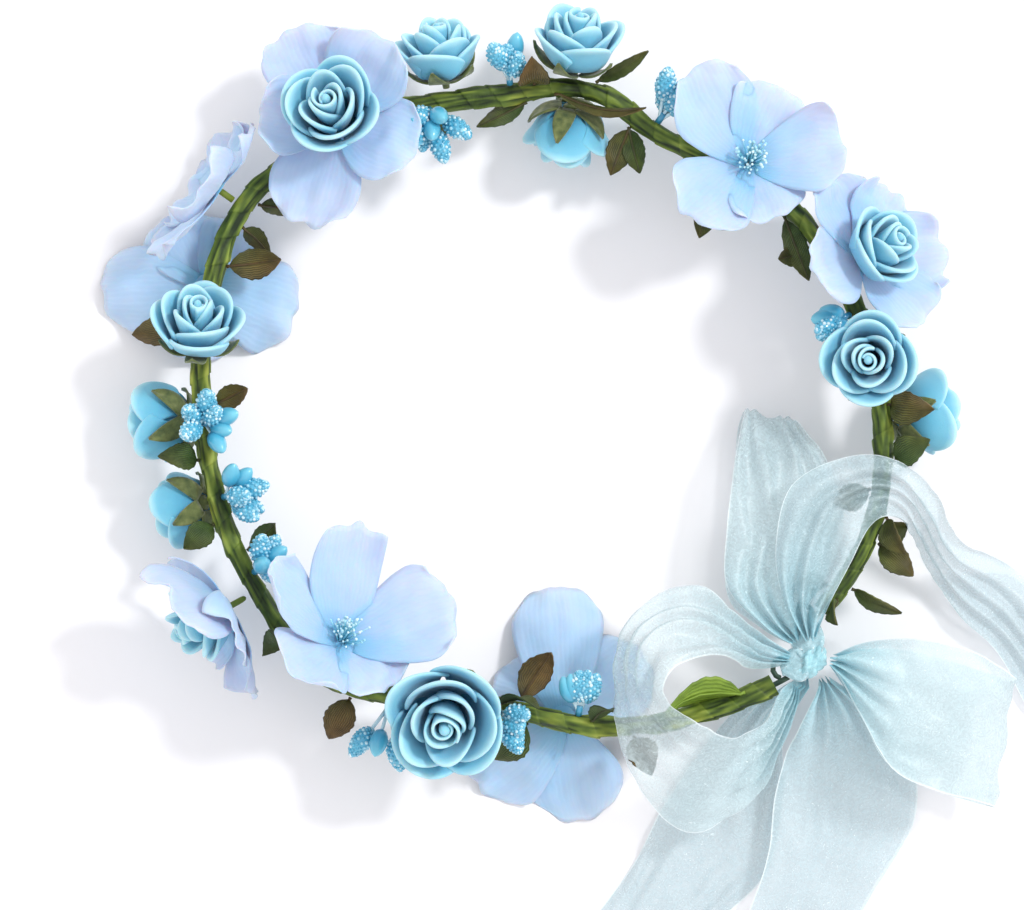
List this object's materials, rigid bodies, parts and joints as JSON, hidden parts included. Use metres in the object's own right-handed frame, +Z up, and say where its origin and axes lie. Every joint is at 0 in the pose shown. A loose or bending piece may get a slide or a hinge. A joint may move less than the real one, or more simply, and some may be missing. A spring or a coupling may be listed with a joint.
{
  "type": "flower crown",
  "caption": "Floral head wreath on a paper-wrapped wire ring with foam roses, fabric blossoms, berries and leaves, tied by a ribbon bow.",
  "frame": {"origin": "middle of the head opening, at the height of the surface that the crown lies on", "axes": "+Z up through the head opening, +X to the right and -Y towards the bow's tails with the crown lying flat"},
  "size_m": [0.2661, 0.2737, 0.0512],
  "materials": {
    "wrap_paper": "matte",
    "wire": "satin",
    "organza": "sheer satin",
    "foam_rose": "matte",
    "calyx_cloth": "matte",
    "petal_fabric": "matte",
    "stamen_thread": "satin",
    "sugar_berry": "glossy",
    "olive_leaf": "matte",
    "fresh_leaf": "matte"
  },
  "bodies": {
    "crown_base": {"band_wrap": "wrap_paper", "core_wire": "wire", "ribbon_knot": "organza", "berries_01": "sugar_berry", "berries_02": "sugar_berry", "berries_03": "sugar_berry", "berries_04": "sugar_berry", "berries_05": "sugar_berry", "berries_06": "sugar_berry", "berries_07": "sugar_berry", "berries_08": "sugar_berry", "berries_09": "sugar_berry", "berries_10": "sugar_berry", "leaf_01": "olive_leaf", "leaf_02": "olive_leaf", "leaf_03": "olive_leaf", "leaf_04": "olive_leaf", "leaf_05": "olive_leaf", "leaf_06": "olive_leaf", "leaf_07": "olive_leaf", "leaf_08": "olive_leaf", "leaf_09": "fresh_leaf", "leaf_10": "olive_leaf"},
    "rose_02_head": {"rose_02": "foam_rose", "calyx_02": "calyx_cloth"},
    "rose_03_head": {"rose_03": "foam_rose", "calyx_03": "calyx_cloth"},
    "rose_04_head": {"rose_04": "foam_rose", "calyx_04": "calyx_cloth"},
    "rose_06_head": {"rose_06": "foam_rose", "calyx_06": "calyx_cloth"},
    "rose_07_head": {"rose_07": "foam_rose", "calyx_07": "calyx_cloth"},
    "rose_08_head": {"rose_08": "foam_rose", "calyx_08": "calyx_cloth"},
    "rose_09_head": {"rose_09": "foam_rose", "calyx_09": "calyx_cloth"},
    "rose_10_head": {"rose_10": "foam_rose", "calyx_10": "calyx_cloth"},
    "rose_12_head": {"rose_12": "foam_rose", "calyx_12": "calyx_cloth"},
    "flower_01": {"blossom_01": "petal_fabric", "rose_01": "foam_rose"},
    "flower_02": {"blossom_02": "petal_fabric"},
    "flower_03": {"blossom_03": "petal_fabric"},
    "flower_04": {"blossom_04": "petal_fabric", "stamens_04": "stamen_thread"},
    "flower_05": {"blossom_05": "petal_fabric", "rose_05": "foam_rose"},
    "flower_06": {"blossom_06": "petal_fabric", "rose_11": "foam_rose"},
    "flower_07": {"blossom_07": "petal_fabric", "stamens_07": "stamen_thread"},
    "flower_08": {"blossom_08": "petal_fabric"},
    "upper_ribbons": {"bow_loop_upper": "organza", "ribbon_tail_right": "organza"},
    "left_loop": {"bow_loop_left": "organza"},
    "right_loop": {"bow_loop_right": "organza"},
    "left_tail": {"ribbon_tail_left": "organza"},
    "front_tail": {"ribbon_tail_front": "organza"}
  },
  "joints": [
    {"name": "rose_02_head_nod", "type": "hinge", "parent": "crown_base", "child": "rose_02_head", "pos_m": [-0.02434, 0.08106, 0.02174], "axis": [-0.9874, -0.1581, 0], "range_deg": [-12, 12]},
    {"name": "rose_03_head_nod", "type": "hinge", "parent": "crown_base", "child": "rose_03_head", "pos_m": [0.00878, 0.08365, 0.02215], "axis": [-0.9951, 0.099, 0], "range_deg": [-12, 12]},
    {"name": "rose_04_head_nod", "type": "hinge", "parent": "crown_base", "child": "rose_04_head", "pos_m": [0.00821, 0.07794, 0.0189], "axis": [-0.9951, 0.099, 0], "range_deg": [-12, 3]},
    {"name": "rose_06_head_nod", "type": "hinge", "parent": "crown_base", "child": "rose_06_head", "pos_m": [0.08581, 0.01051, 0.02379], "axis": [-0.2297, 0.9733, 0], "range_deg": [-12, 12]},
    {"name": "rose_07_head_nod", "type": "hinge", "parent": "crown_base", "child": "rose_07_head", "pos_m": [0.09147, -0.00433, 0.019], "axis": [-0.105, 0.9945, 0], "range_deg": [-12, 12]},
    {"name": "rose_08_head_nod", "type": "hinge", "parent": "crown_base", "child": "rose_08_head", "pos_m": [-0.08825, 0.01239, 0.0238], "axis": [-0.0526, -0.7416, 0.6687], "range_deg": [-12, 9]},
    {"name": "rose_09_head_nod", "type": "hinge", "parent": "crown_base", "child": "rose_09_head", "pos_m": [-0.0903, -0.00486, 0.0188], "axis": [0.0966, -0.9953, 0], "range_deg": [-12, 12]},
    {"name": "rose_10_head_nod", "type": "hinge", "parent": "crown_base", "child": "rose_10_head", "pos_m": [-0.08622, -0.02629, 0.01838], "axis": [0.2661, -0.9639, 0], "range_deg": [-12, 12]},
    {"name": "rose_12_head_nod", "type": "hinge", "parent": "crown_base", "child": "rose_12_head", "pos_m": [-0.02407, -0.07934, 0.02369], "axis": [0.9957, -0.0922, 0], "range_deg": [-12, 12]},
    {"name": "flower_01_nod", "type": "hinge", "parent": "crown_base", "child": "flower_01", "pos_m": [-0.05186, 0.07042, 0.02362], "axis": [-0.8998, -0.4362, 0], "range_deg": [-6, 12]},
    {"name": "flower_02_nod", "type": "hinge", "parent": "crown_base", "child": "flower_02", "pos_m": [-0.07961, 0.05183, 0.02205], "axis": [-0.5754, -0.8179, 0], "range_deg": [-2, 12]},
    {"name": "flower_03_nod", "type": "hinge", "parent": "crown_base", "child": "flower_03", "pos_m": [-0.08621, 0.02962, 0.01725], "axis": [-0.2243, -0.9745, 0], "range_deg": [-12, 12]},
    {"name": "flower_04_nod", "type": "hinge", "parent": "crown_base", "child": "flower_04", "pos_m": [0.05294, 0.05929, 0.02349], "axis": [-0.8791, 0.4766, 0], "range_deg": [-12, 10]},
    {"name": "flower_05_nod", "type": "hinge", "parent": "crown_base", "child": "flower_05", "pos_m": [0.07934, 0.0347, 0.02283], "axis": [-0.4708, 0.8822, 0], "range_deg": [-12, 12]},
    {"name": "flower_06_nod", "type": "hinge", "parent": "crown_base", "child": "flower_06", "pos_m": [-0.07622, -0.05112, 0.02163], "axis": [0.4942, -0.8693, 0], "range_deg": [-10, 12]},
    {"name": "flower_07_nod", "type": "hinge", "parent": "crown_base", "child": "flower_07", "pos_m": [-0.05579, -0.0687, 0.02303], "axis": [0.8133, -0.5819, 0], "range_deg": [-1, 12]},
    {"name": "flower_08_nod", "type": "hinge", "parent": "crown_base", "child": "flower_08", "pos_m": [0.00589, -0.08313, 0.01721], "axis": [0.9774, -0.2114, 0], "range_deg": [-12, 12]},
    {"name": "upper_ribbons_lift", "type": "hinge", "parent": "crown_base", "child": "upper_ribbons", "pos_m": [0.06649, -0.06217, 0.0225], "axis": [0.9781, 0.208, 0], "range_deg": [0, 20]},
    {"name": "left_loop_lift", "type": "hinge", "parent": "crown_base", "child": "left_loop", "pos_m": [0.06429, -0.06717, 0.0225], "axis": [-0.07, 0.9975, 0], "range_deg": [0, 35]},
    {"name": "right_loop_lift", "type": "hinge", "parent": "crown_base", "child": "right_loop", "pos_m": [0.07639, -0.06777, 0.0205], "axis": [-0.3419, -0.9397, 0], "range_deg": [-4, 35]},
    {"name": "left_tail_swing", "type": "hinge", "parent": "crown_base", "child": "left_tail", "pos_m": [0.06889, -0.07327, 0.0166], "axis": [0, 0, 1], "range_deg": [-10, 15]},
    {"name": "front_tail_swing", "type": "hinge", "parent": "crown_base", "child": "front_tail", "pos_m": [0.07389, -0.07307, 0.017], "axis": [0, 0, 1], "range_deg": [-15, 15]}
  ]
}
